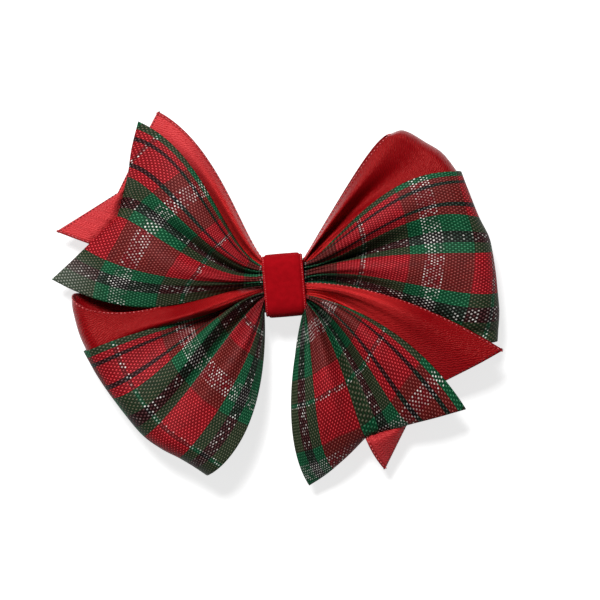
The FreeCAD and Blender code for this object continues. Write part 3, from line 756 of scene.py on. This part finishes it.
def tartan_finish(name, begins, sheer=0.0):
    """Tartan whose weft repeat begins at begins (mm) along the ribbon; sheer is how pale its tip is
    painted, as if the white floor showed through.
    """
    material, tree = new_material(name)
    across, along, place = ribbon_place(tree, TARTAN_WIDTH)
    width_share = maths(tree, "DIVIDE", across, TARTAN_WIDTH)
    moved = maths(tree, "DIVIDE", maths(tree, "SUBTRACT", along, begins), WEFT_REPEAT)
    repeat = maths(tree, "FRACT", maths(tree, "ADD", moved, 10.0))
    warp = stripes(tree, width_share, WARP)
    weft = stripes(tree, repeat, WEFT)
    # One cell of the weave is one crossing of two threads.
    pitch = (THREAD_PITCH[0], THREAD_PITCH[1], 1.0)
    cells = node(tree, "ShaderNodeVectorMath", {0: place, 1: pitch}, operation="DIVIDE")
    cell = node(tree, "ShaderNodeSeparateXYZ", {0: cells.outputs[0]})
    over = node(tree, "ShaderNodeTexChecker", {"Vector": cells.outputs[0], "Scale": 1.0}).outputs[1]
    warp_round = thread_round(tree, cell.outputs[0])
    weft_round = thread_round(tree, cell.outputs[1])
    both_round = maths(tree, "MULTIPLY", warp_round, weft_round)
    narrow = maths(tree, "MULTIPLY", both_round, maths(tree, "POWER", weft_round, 2.0))
    dot = maths(tree, "MULTIPLY", narrow, over)
    # The warp shows most. Between the threads there is painted shade, and where the weft comes up a
    # painted highlight.
    weft_share = maths(tree, "ADD", maths(tree, "MULTIPLY", over, 0.12), 0.08)
    colour = blend(tree, weft_share, warp, weft)
    shade = maths(tree, "MULTIPLY_ADD", warp_round, 0.48, 0.12)
    shade = maths(tree, "ADD", shade, maths(tree, "MULTIPLY", dot, 1.3))
    uneven = noise(tree, place, 0.45, 3.0)
    shade = maths(tree, "MULTIPLY", shade, maths(tree, "MULTIPLY_ADD", uneven, 0.9, 0.52))
    # Painted shade: close to the band, among the gathers, the cloth is drawn darker.
    knot_shade = ease(tree, maths(tree, "ABSOLUTE", along), *KNOT_SHADE_REACH, KNOT_SHADE_TONE)
    shade = maths(tree, "MULTIPLY", shade, knot_shade)
    # Threads of two colours dull each other where they cross.
    unlike = node(tree, "ShaderNodeVectorMath", {0: warp, 1: weft}, operation="DISTANCE").outputs[1]
    dulled = maths(tree, "SUBTRACT", 1.0, maths(tree, "MULTIPLY", unlike, 0.95))
    shade = maths(tree, "MULTIPLY", shade, dulled)
    colour = node(tree, "ShaderNodeVectorMath", {0: colour, "Scale": shade}, operation="SCALE").outputs[0]
    # A faint white painted highlight on every weft crossing.
    pale = maths(tree, "MULTIPLY", dot, 0.07)
    colour = node(tree, "ShaderNodeVectorMath", {0: colour, 1: pale}, operation="ADD").outputs[0]
    # Silver thread shows on some crossings only, in every other row; its white spots are painted glints,
    # brighter in random patches.
    whole = node(tree, "ShaderNodeVectorMath", {0: cells.outputs[0]}, operation="FLOOR").outputs[0]
    chance = node(tree, "ShaderNodeTexWhiteNoise", {"Vector": whole}).outputs[0]
    glint = maths(tree, "POWER", maths(tree, "FRACT", maths(tree, "MULTIPLY", chance, 97.0)), 1.6)
    weft_silver = silver_share(tree, repeat, WEFT_SILVER)
    warp_silver = silver_share(tree, width_share, WARP_SILVER)
    amount = maths(tree, "ADD", weft_silver, warp_silver)
    spark = maths(tree, "MULTIPLY", maths(tree, "LESS_THAN", chance, amount), dot)
    patch = noise(tree, place, 0.22, 1.0)
    patch = maths(tree, "MULTIPLY_ADD", patch, 5.0, -1.9, clamp=True)
    spark = maths(tree, "MULTIPLY", spark, maths(tree, "MULTIPLY_ADD", patch, 0.75, 0.2))
    spark = maths(tree, "MULTIPLY", spark, maths(tree, "ADD", glint, 0.5), clamp=True)
    colour = blend(tree, spark, colour, SILVER_GLINT)
    # Painted light: at the left tail's lower tip the white floor seems to show through the open weave, so
    # the cloth looks pale.
    tip = ease(tree, along, SEE_THROUGH_FROM, SEE_THROUGH_TO, high=sheer)
    low_edge = maths(tree, "MULTIPLY_ADD", width_share, 8.0, -6.0, clamp=True)
    see_through = maths(tree, "MULTIPLY", tip, low_edge)
    see_through = maths(tree, "MULTIPLY", see_through, maths(tree, "MULTIPLY_ADD", dot, 0.7, 0.08))
    colour = blend(tree, see_through, colour, FLOOR_SEEN_THROUGH)
    under = maths(tree, "SUBTRACT", 1.0, over)
    weft_on_top = maths(tree, "MULTIPLY", weft_round, over)
    weave = maths(tree, "MULTIPLY_ADD", warp_round, under, weft_on_top)
    settings = {
        "Base Color": colour,
        "Roughness": 0.6,
        "Specular IOR Level": 0.12,
    }
    finish_material(tree, settings, weave, 0.06 * MM, 0.5)
    return material


# %% [markdown]
# ## Satin ribbon
# Satin has long threads floating over its face, so it is smooth and bright where it turns to the light
# and deep red where it turns away. A fine slanting grain and faint lengthwise streaks break it up.

# %% Satin finish
SELVEDGE = 0.9
SELVEDGE_RED = tone(104, 0, 8)
TWILL_PITCH = 0.62
TWILL_SLANT = 0.9
# Distances from the knot (mm) between which the painted light on the tips comes in.
TIP_LIGHT_FROM = 20.0
TIP_LIGHT_TO = 40.0
# Distance (mm) over which the painted highlight near the knot fades out.
KNOT_HIGHLIGHT_FADE = 17.0
# Two tones each for the painted highlight near the knot and for the painted light on the tips.
KNOT_HIGHLIGHT_TONES = [(0.35, tone(170, 4, 12)), (0.65, tone(242, 62, 62))]
TIP_LIGHT_TONES = [(0.35, tone(198, 42, 48)), (0.65, tone(246, 88, 92))]


def satin_finish(name, dark, light, ends, highlight_to, shine):
    """Red satin with a slanting grain.

    Its tips are lighter by the share ends: painted light. Close to the knot, out to a given distance (mm),
    it has a painted highlight, brighter by the share shine."""
    material, tree = new_material(name)
    across, along, place = ribbon_place(tree, SATIN_WIDTH)
    slant = maths(tree, "MULTIPLY_ADD", along, TWILL_SLANT, across)
    wobble = noise(tree, place, 0.9, 2.0)
    slant = maths(tree, "MULTIPLY_ADD", wobble, 1.2, slant)
    twill = maths(tree, "SINE", maths(tree, "MULTIPLY", slant, 2 * math.pi / TWILL_PITCH))
    speckle = noise(tree, place, 2.6, 3.0, 0.8)
    grain = maths(tree, "MULTIPLY_ADD", twill, 0.26, speckle)
    drawn_out = node(tree, "ShaderNodeMapping", {"Vector": place, "Scale": (4.0, 0.12, 1)})
    streak = noise(tree, drawn_out.outputs[0], 1.0, 2.0)
    mixed = maths(tree, "ADD", maths(tree, "MULTIPLY", grain, 0.75), maths(tree, "MULTIPLY", streak, 0.25))
    # The woven edge is a little darker than the face.
    from_middle = maths(tree, "ABSOLUTE", maths(tree, "SUBTRACT", across, SATIN_WIDTH / 2))
    edge = maths(tree, "GREATER_THAN", from_middle, SATIN_WIDTH / 2 - SELVEDGE)
    colour = stripes(tree, mixed, [(0.35, dark), (0.65, light)], "LINEAR")
    from_knot = maths(tree, "ABSOLUTE", along)
    far_out = ease(tree, from_knot, TIP_LIGHT_FROM, TIP_LIGHT_TO)
    # Painted highlight: close to the band the satin is drawn brighter.
    knot_highlight = ease(tree, from_knot, highlight_to, highlight_to - KNOT_HIGHLIGHT_FADE, high=shine)
    colour = blend(tree, knot_highlight, colour, stripes(tree, mixed, KNOT_HIGHLIGHT_TONES, "LINEAR"))
    # Painted light on the tips: on the left both tips are lighter, on the right only the lower one.
    on_left = maths(tree, "LESS_THAN", along, 0.0)
    lower = maths(tree, "POWER", maths(tree, "DIVIDE", across, SATIN_WIDTH), 2.0)
    tip_light = maths(tree, "MULTIPLY", far_out, maths(tree, "MAXIMUM", on_left, lower))
    lit_tip = stripes(tree, mixed, TIP_LIGHT_TONES, "LINEAR")
    colour = blend(tree, maths(tree, "MULTIPLY", tip_light, ends), colour, lit_tip)
    colour = blend(tree, maths(tree, "MULTIPLY", edge, 0.5), colour, SELVEDGE_RED)
    settings = {
        "Base Color": colour,
        "Roughness": maths(tree, "ADD", maths(tree, "MULTIPLY", grain, 0.14), 0.34),
        "Specular IOR Level": 0.6,
        "Specular Tint": tone(255, 112, 106),
        "Anisotropic": 0.4,
    }
    finish_material(tree, settings, grain, 0.10 * MM, 0.85)
    return material


tartan_loops_finish = tartan_finish("tartan_of_the_ring", 33.0)
tartan_tails_finish = tartan_finish("tartan_of_the_tails", 10.5, 0.8)
satin_loops_finish = satin_finish("satin_of_the_ring", tone(112, 1, 6), tone(146, 3, 12), 0.0, 26.0, 0.5)
satin_tails_finish = satin_finish("satin_of_the_tails", tone(108, 1, 6), tone(144, 4, 13), 0.58, 35.0, 0.8)
print("ribbon finishes ready")

# %% [markdown]
# ## Stitched edges
# A ribbon's long edges are bound by a row of tiny stitches, and the slanting cuts are sealed in the same
# way. A stitch is one small grain that repeats along a line, so Geometry Nodes lay it: the line is
# divided by the stitch's pitch, and a grain is set on every point, turned along the line.

# %% Thread finish


def thread_finish(name, dark, light):
    """Twisted thread: two tones in fine slanting bands."""
    material, tree = new_material(name)
    inputs = {"Vector": object_place(tree), "Scale": 900.0, "Distortion": 3.0, "Detail": 2.0}
    twist = node(tree, "ShaderNodeTexWave", inputs, bands_direction="DIAGONAL").outputs[1]
    colour = stripes(tree, twist, [(0.2, dark), (0.8, light)], "LINEAR")
    settings = {"Base Color": colour, "Roughness": 0.55, "Specular IOR Level": 0.4}
    finish_material(tree, settings, twist, 0.03 * MM, 0.6)
    return material


satin_stitch = thread_finish("satin_edge_thread", tone(168, 34, 40), tone(224, 104, 104))
cut_stitch = thread_finish("cut_edge_thread", tone(70, 0, 8), tone(120, 6, 18))
velvet_stitch = thread_finish("velvet_edge_thread", tone(178, 40, 46), tone(216, 98, 100))
print("three threads dyed")

# %% Stitches along a line


def stitch_tree():
    """The node tree: stitches of a given size at an even pitch along the lines of a mesh."""
    tree = bpy.data.node_groups.new("stitches_along_a_line", "GeometryNodeTree")
    sockets = tree.interface
    sockets.new_socket("Line", in_out="INPUT", socket_type="NodeSocketGeometry")
    for title in ("Pitch", "Stitch length", "Thread width"):
        sockets.new_socket(title, in_out="INPUT", socket_type="NodeSocketFloat")
    sockets.new_socket("Seed", in_out="INPUT", socket_type="NodeSocketInt")
    sockets.new_socket("Thread", in_out="INPUT", socket_type="NodeSocketMaterial")
    sockets.new_socket("Stitches", in_out="OUTPUT", socket_type="NodeSocketGeometry")
    given = tree.nodes.new("NodeGroupInput")
    result = tree.nodes.new("NodeGroupOutput")
    line = node(tree, "GeometryNodeMeshToCurve", {"Mesh": given.outputs["Line"]})
    spaced = {"Curve": line.outputs[0], "Length": given.outputs["Pitch"]}
    even = node(tree, "GeometryNodeResampleCurve", spaced, mode="LENGTH")
    along = node(tree, "GeometryNodeInputTangent")
    turn = node(tree, "FunctionNodeAlignRotationToVector", {"Vector": along.outputs[0]}, axis="X")
    grain = node(tree, "GeometryNodeMeshUVSphere", {"Segments": 6, "Rings": 4, "Radius": 0.5})
    # No two stitches are quite as long: sockets 2 and 3 are the least and the most.
    chance = {2: 0.85, 3: 1.15, "Seed": given.outputs["Seed"]}
    uneven = node(tree, "FunctionNodeRandomValue", chance, data_type="FLOAT")
    length = maths(tree, "MULTIPLY", given.outputs["Stitch length"], uneven.outputs[1])
    width = given.outputs["Thread width"]
    size = node(tree, "ShaderNodeCombineXYZ", {0: length, 1: width, 2: width})
    laid = node(tree, "GeometryNodeInstanceOnPoints", {
        "Points": even.outputs[0],
        "Instance": grain.outputs[0],
        "Rotation": turn.outputs[0],
        "Scale": size.outputs[0],
    })
    real = node(tree, "GeometryNodeRealizeInstances", {0: laid.outputs[0]})
    coated = {"Geometry": real.outputs[0], "Material": given.outputs["Thread"]}
    dyed = node(tree, "GeometryNodeSetMaterial", coated)
    tree.links.new(dyed.outputs[0], result.inputs[0])
    return tree


STITCHES = stitch_tree()


def stitched(name, lines, material, pitch, length, width, seed):
    """A piece of stitches along lines of points (mm)."""
    mesh = bpy.data.meshes.new(name)
    edges = []
    first = 0
    for line in lines:
        edges += [(first + k, first + k + 1) for k in range(len(line) - 1)]
        first += len(line)
    mesh.from_pydata((np.concatenate(lines) * MM).tolist(), edges, [])
    obj = add_object(name, mesh, material)
    sewing = obj.modifiers.new("sewing", "NODES")
    sewing.node_group = STITCHES
    sizes = {
        "Pitch": pitch * MM,
        "Stitch length": length * MM,
        "Thread width": width * MM,
        "Seed": seed,
        "Thread": material,
    }
    for item in STITCHES.interface.items_tree:
        if item.in_out == "INPUT" and item.name in sizes:
            sewing[item.identifier] = sizes[item.name]
    baked(obj)
    for face in obj.data.polygons:
        face.use_smooth = True
    return obj


def face_line(points, rows, columns, lift):
    """A line of points on the outer face of a cloth grid, lifted off it by lift (mm)."""
    along = np.gradient(points, axis=0)
    across = np.gradient(points, axis=1)
    outward = np.cross(along, across)
    outward /= np.linalg.norm(outward, axis=2)[..., None]
    return (points + outward * (FABRIC / 2 + lift))[rows, columns]


print("stitches ready")

# %% [markdown]
# ## The four ribbons
# Each ribbon is now made as cloth, rides on the body and replaces its CAD solid.

# %% Make the ribbons
# Stitches: pitch, length and thread width (mm), and the seed for their unevenness.
EDGE_STITCH = (0.95, 0.60, 0.30, 1)
CUT_STITCH = (0.84, 0.5, 0.26, 2)
STITCH_LIFT = 0.03
FINISHES = {
    "tartan_ring": (tartan_loops_finish, "tartan", "tartan_loops"),
    "satin_ring": (satin_loops_finish, "satin", "satin_loops"),
    "tartan_tail_pair": (tartan_tails_finish, "tartan", "tartan_tails"),
    "satin_tail_pair": (satin_tails_finish, "satin", "satin_tails"),
}
for name, (material, slot, solid) in FINISHES.items():
    closed = name.endswith("ring")
    piece = cloth(name, ribbons[name], places[name], material, closed=closed)
    finish_piece(piece, (solid,))
    trim = []
    if slot == "satin":
        grid_points = ribbons[name]
        whole = slice(None)
        edges = [face_line(grid_points, whole, column, STITCH_LIFT) for column in (1, COLUMNS - 2)]
        trim.append(stitched(name + "_edge_stitches", edges, satin_stitch, *EDGE_STITCH))
        if not closed:
            cuts = [face_line(grid_points, row, whole, STITCH_LIFT) for row in (1, len(grid_points) - 2)]
            trim.append(stitched(name + "_cut_stitches", cuts, cut_stitch, *CUT_STITCH))
    for stitches in trim:
        finish_piece(stitches)

# %% [markdown]
# ## Velvet band
# A strip of velvet ribbon holds the bow together. Its pile is a raised stripe between two thin woven
# edges. It is made by carrying one cross-section of the strip round a rounded loop.

# %% Velvet finish


def velvet_finish():
    """Deep red pile that is lighter at a grazing angle, with soft mottling."""
    material, tree = new_material("velvet")
    place = object_place(tree)
    mottle = noise(tree, place, 900.0, 4.0)
    pile = noise(tree, place, 9000.0, 2.0)
    colour = stripes(tree, mottle, [(0.35, tone(150, 0, 11)), (0.65, tone(162, 2, 15))], "LINEAR")
    settings = {
        "Base Color": colour,
        "Roughness": 0.9,
        "Specular IOR Level": 0.1,
        "Sheen Weight": 0.25,
        "Sheen Roughness": 0.35,
        "Sheen Tint": tone(255, 90, 100),
    }
    finish_material(tree, settings, pile, 0.08 * MM, 0.8)
    return material


velvet = velvet_finish()
print("velvet ready:", velvet.name)

# %% Velvet band
BAND_TILT = Matrix.Rotation(math.radians(4.8), 3, "Z")
BAND_HALF_WIDE = VELVET_WIDTH / 2
# The band is tilted inside its box, and its outer face is a pile's height outside its inner one.
BAND_TILT_ROOM = 0.05
BAND_HALF_LONG = (band_high.y - band_low.y) / 2 - BAND_TILT_ROOM - VELVET_PILE
BAND_HALF_HIGH = (band_high.z - band_low.z) / 2 - VELVET_PILE
BAND_MIDDLE = (band_low.z + band_high.z) / 2
# The higher this power, the squarer the band's corners are.
BAND_POWER = 4.5
BAND_STEPS = 120
# Profile across the strip: place from -1 to 1 and height of the outer face above the inner one (mm).
PROFILE = [
    (-1.0, 0.44), (-0.97, 0.52), (-0.90, 0.55), (-0.86, 0.60), (-0.83, 0.78), (-0.79, 0.88), (-0.70, 0.93),
    (-0.33, 0.95), (0.0, 0.96), (0.33, 0.95), (0.70, 0.93), (0.79, 0.88), (0.83, 0.78), (0.86, 0.60),
    (0.90, 0.55), (0.97, 0.52), (1.0, 0.44),
]


def band_place(step, x, high):
    """A place (mm) on the tilted band: steps round it, x from -1 to 1 across it, high above its inside."""
    turn = math.tau * step / BAND_STEPS
    cosine, sine = math.cos(turn), math.sin(turn)
    flat, steep = 2 / BAND_POWER, 2 - 2 / BAND_POWER
    point = Vector((
        math.copysign(abs(cosine) ** flat, cosine) * BAND_HALF_LONG,
        math.copysign(abs(sine) ** flat, sine) * BAND_HALF_HIGH,
    ))
    outward = Vector((
        math.copysign(abs(cosine) ** steep, cosine) / BAND_HALF_LONG,
        math.copysign(abs(sine) ** steep, sine) / BAND_HALF_HIGH,
    )).normalized()
    at = point + outward * high
    return BAND_TILT @ Vector((x * BAND_HALF_WIDE, at.x, BAND_MIDDLE + at.y))


def velvet_band():
    """The closed band, tilted as it sits on the bow."""
    profile = PROFILE + [(x, 0.0) for x, _ in reversed(PROFILE)]
    bm = bmesh.new()
    rings = [
        [bm.verts.new(band_place(step, x, high) * MM) for x, high in profile]
        for step in range(BAND_STEPS)
    ]
    for ring, following in zip(rings, rings[1:] + rings[:1]):
        for a in range(len(profile)):
            b = (a + 1) % len(profile)
            bm.faces.new((ring[a], ring[b], following[b], following[a]))
    bmesh.ops.recalc_face_normals(bm, faces=bm.faces)
    for face in bm.faces:
        face.smooth = True
    mesh = bpy.data.meshes.new("velvet_strip")
    bm.to_mesh(mesh)
    bm.free()
    return add_object("velvet_strip", mesh, velvet)


finish_piece(velvet_band(), ("velvet_band",))

# %% Stitches on the velvet's edges
VELVET_STITCH = (0.5, 0.34, 0.20, 3)
# Their place across the strip, from -1 to 1, and their height above its inner face (mm).
VELVET_STITCH_PLACE = 0.93
VELVET_STITCH_HIGH = 0.56
velvet_lines = [
    np.array([band_place(step, x, VELVET_STITCH_HIGH) for step in range(BAND_STEPS + 1)])
    for x in (-VELVET_STITCH_PLACE, VELVET_STITCH_PLACE)
]
velvet_edges = stitched("velvet_edge_stitches", velvet_lines, velvet_stitch, *VELVET_STITCH)
finish_piece(velvet_edges)

# %% [markdown]
# ## What holds the bow
# Behind the bow is a small double-sided foam pad, which sticks it to a parcel. Its foam swells a little
# between its two films. The films, the drop of glue under the band and the thread that binds the
# gathers have their right shapes in the CAD model, so they only get their finishes here.

# %% Foam pad
# The side's swell (mm) at shares of the foam's height; it pulls in where it meets a film.
FOAM_STEPS = [
    (0.0, -0.22), (0.1, -0.06), (0.3, 0.08), (0.5, 0.12), (0.7, 0.08), (0.9, -0.06), (1.0, -0.22),
]
CORNER = 2.0
CORNER_STEPS = 7


def foam_finish():
    """White closed-cell foam."""
    material, tree = new_material("foam")
    place = object_place(tree)
    inputs = {"Vector": place, "Scale": 2600.0, "Randomness": 0.8}
    cells = node(tree, "ShaderNodeTexVoronoi", inputs).outputs[0]
    mottle = noise(tree, place, 500.0, 3.0)
    mixed = maths(tree, "ADD", maths(tree, "MULTIPLY", cells, 0.4), maths(tree, "MULTIPLY", mottle, 0.6))
    colour = stripes(tree, mixed, [(0.3, tone(226, 225, 220)), (0.7, tone(246, 246, 243))], "LINEAR")
    settings = {"Base Color": colour, "Roughness": 0.85, "Specular IOR Level": 0.25}
    finish_material(tree, settings, cells, 0.04 * MM, 0.5)
    return material


def foam_block():
    """A plate with rounded corners whose sides swell out between the films."""
    low, high = (Vector(corner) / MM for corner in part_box("foam_pad"))
    middle = (low + high) / 2
    half = (high - low) / 2
    outline = []
    for x, y, start in ((1, 1, 0), (-1, 1, 90), (-1, -1, 180), (1, -1, 270)):
        for step in range(CORNER_STEPS + 1):
            angle = math.radians(start + 90 * step / CORNER_STEPS)
            corner = Vector((x * (half.x - CORNER), y * (half.y - CORNER)))
            outline.append((corner, Vector((math.cos(angle), math.sin(angle)))))
    bm = bmesh.new()
    rings = []
    for share, swell in FOAM_STEPS:
        level = low.z + (high.z - low.z) * share
        ring = []
        for corner, away in outline:
            at = corner + away * (CORNER + swell)
            place = Vector((middle.x + at.x, middle.y + at.y, level))
            ring.append(bm.verts.new(place * MM))
        rings.append(ring)
    for ring, above in zip(rings, rings[1:]):
        for k in range(len(ring)):
            following = (k + 1) % len(ring)
            side = bm.faces.new((ring[k], ring[following], above[following], above[k]))
            side.smooth = True
    bm.faces.new(rings[0][::-1])
    bm.faces.new(rings[-1])
    mesh = bpy.data.meshes.new("foam_block")
    bm.to_mesh(mesh)
    bm.free()
    return add_object("foam_block", mesh, foam_finish())


pad = finish_piece(foam_block(), ("foam_pad",))

# %% Films, glue and binding thread


def film_finish():
    """Clear sticky film, faintly yellow, with small bubbles."""
    material, tree = new_material("sticky_film")
    bubbles = noise(tree, object_place(tree), 1200.0, 2.0)
    colour = stripes(tree, bubbles, [(0.35, tone(222, 216, 196)), (0.65, tone(238, 234, 218))], "LINEAR")
    settings = {
        "Base Color": colour,
        "Roughness": 0.25,
        "Specular IOR Level": 0.5,
        "Coat Weight": 0.3,
    }
    finish_material(tree, settings, bubbles, 0.03 * MM, 0.4)
    return material


def glue_finish():
    """Cloudy hot-melt glue."""
    material, tree = new_material("hot_glue")
    cloud = noise(tree, object_place(tree), 350.0, 3.0)
    colour = stripes(tree, cloud, [(0.35, tone(216, 208, 182)), (0.65, tone(236, 230, 208))], "LINEAR")
    settings = {
        "Base Color": colour,
        "Roughness": 0.3,
        "Specular IOR Level": 0.5,
        "Subsurface Weight": 0.3,
        "Subsurface Scale": 0.5 * MM,
    }
    finish_material(tree, settings, cloud, 0.15 * MM, 0.5)
    return material


binding = thread_finish("binding_thread_twist", tone(92, 2, 12), tone(150, 20, 30))
sticky = film_finish()
NODE_FINISHES = {
    "pad_adhesive_base": sticky,
    "pad_adhesive_top": sticky,
    "band_glue": glue_finish(),
    "binding_thread": binding,
}
for name, material in NODE_FINISHES.items():
    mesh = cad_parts[name].data
    mesh.materials.clear()
    mesh.materials.append(material)
    print(name, "has the finish", material.name)

# %% [markdown]
# ## Floor, light and camera
# The bow lies on a plain white surface, seen from straight above, in soft light from the upper left.
# The floor adds a little white for the camera and for reflections, but not to the light on the bow, so
# it is white around the soft shadows.

# %% Floor
FLOOR = 3.0
PAPER_LIFT = 0.74


def floor_finish():
    """White paper that looks fully white to the camera and in reflections, and keeps the shadow."""
    material, tree = new_material("white_paper")
    fibre = noise(tree, object_place(tree), 400.0, 3.0)
    paper = stripes(tree, fibre, [(0.3, (0.56, 0.56, 0.56, 1)), (0.7, (0.58, 0.58, 0.58, 1))], "LINEAR")
    diffuse = node(tree, "ShaderNodeBsdfDiffuse", {"Color": paper})
    ray = node(tree, "ShaderNodeLightPath").outputs
    lift = maths(tree, "MAXIMUM", ray["Is Glossy Ray"], ray["Is Transmission Ray"])
    lift = maths(tree, "MAXIMUM", ray["Is Camera Ray"], lift)
    strength = maths(tree, "MULTIPLY", lift, PAPER_LIFT)
    glow = node(tree, "ShaderNodeEmission", {"Color": (1, 1, 1, 1), "Strength": strength})
    both = node(tree, "ShaderNodeAddShader", {0: diffuse.outputs[0], 1: glow.outputs[0]})
    output = tree.nodes.new("ShaderNodeOutputMaterial")
    tree.links.new(both.outputs[0], output.inputs[0])
    return material


floor_mesh = bpy.data.meshes.new("floor")
floor_corners = [(x * FLOOR, y * FLOOR, 0) for x, y in ((-1, -1), (1, -1), (1, 1), (-1, 1))]
floor_mesh.from_pydata(floor_corners, [], [(0, 1, 2, 3)])
floor = add_object("floor", floor_mesh, floor_finish())

# %% Light
world = bpy.data.worlds.new("studio")
bpy.context.scene.world = world
world.use_nodes = True
background = world.node_tree.nodes["Background"]
background.inputs["Color"].default_value = (1, 1, 1, 1)
background.inputs["Strength"].default_value = 0.11


def lamp(name, place, size, power):
    """A square soft light that looks at the bow."""
    data = bpy.data.lights.new(name, "AREA")
    data.size = size
    data.energy = power
    obj = bpy.data.objects.new(name, data)
    obj.location = place
    obj.rotation_euler = (-Vector(place)).to_track_quat("-Z", "Y").to_euler()
    bpy.context.scene.collection.objects.link(obj)
    return obj


lamp("key_light", (-0.22, 0.52, 0.88), 0.30, 12.2)
print("light and floor are set")

# %% Camera
camera_data = bpy.data.cameras.new("camera")
camera = bpy.data.objects.new("camera", camera_data)
bpy.context.scene.collection.objects.link(camera)
# Width of the view (m) at the height of the bow's folds, which is above the floor.
FRAME_WIDTH = 0.1325
FOLDS_HEIGHT = 0.008
camera_data.lens = 250.0
camera_data.sensor_width = 36.0
CAMERA_HEIGHT = FRAME_WIDTH * camera_data.lens / camera_data.sensor_width + FOLDS_HEIGHT
camera.location = (0.0035, -0.0033, CAMERA_HEIGHT)
camera.rotation_euler = (0, 0, 0)
camera_data.clip_end = 10.0
bpy.context.scene.camera = camera
print("the camera is", round(CAMERA_HEIGHT, 3), "m above the floor")
bpy.context.scene.view_settings.view_transform = "Standard"
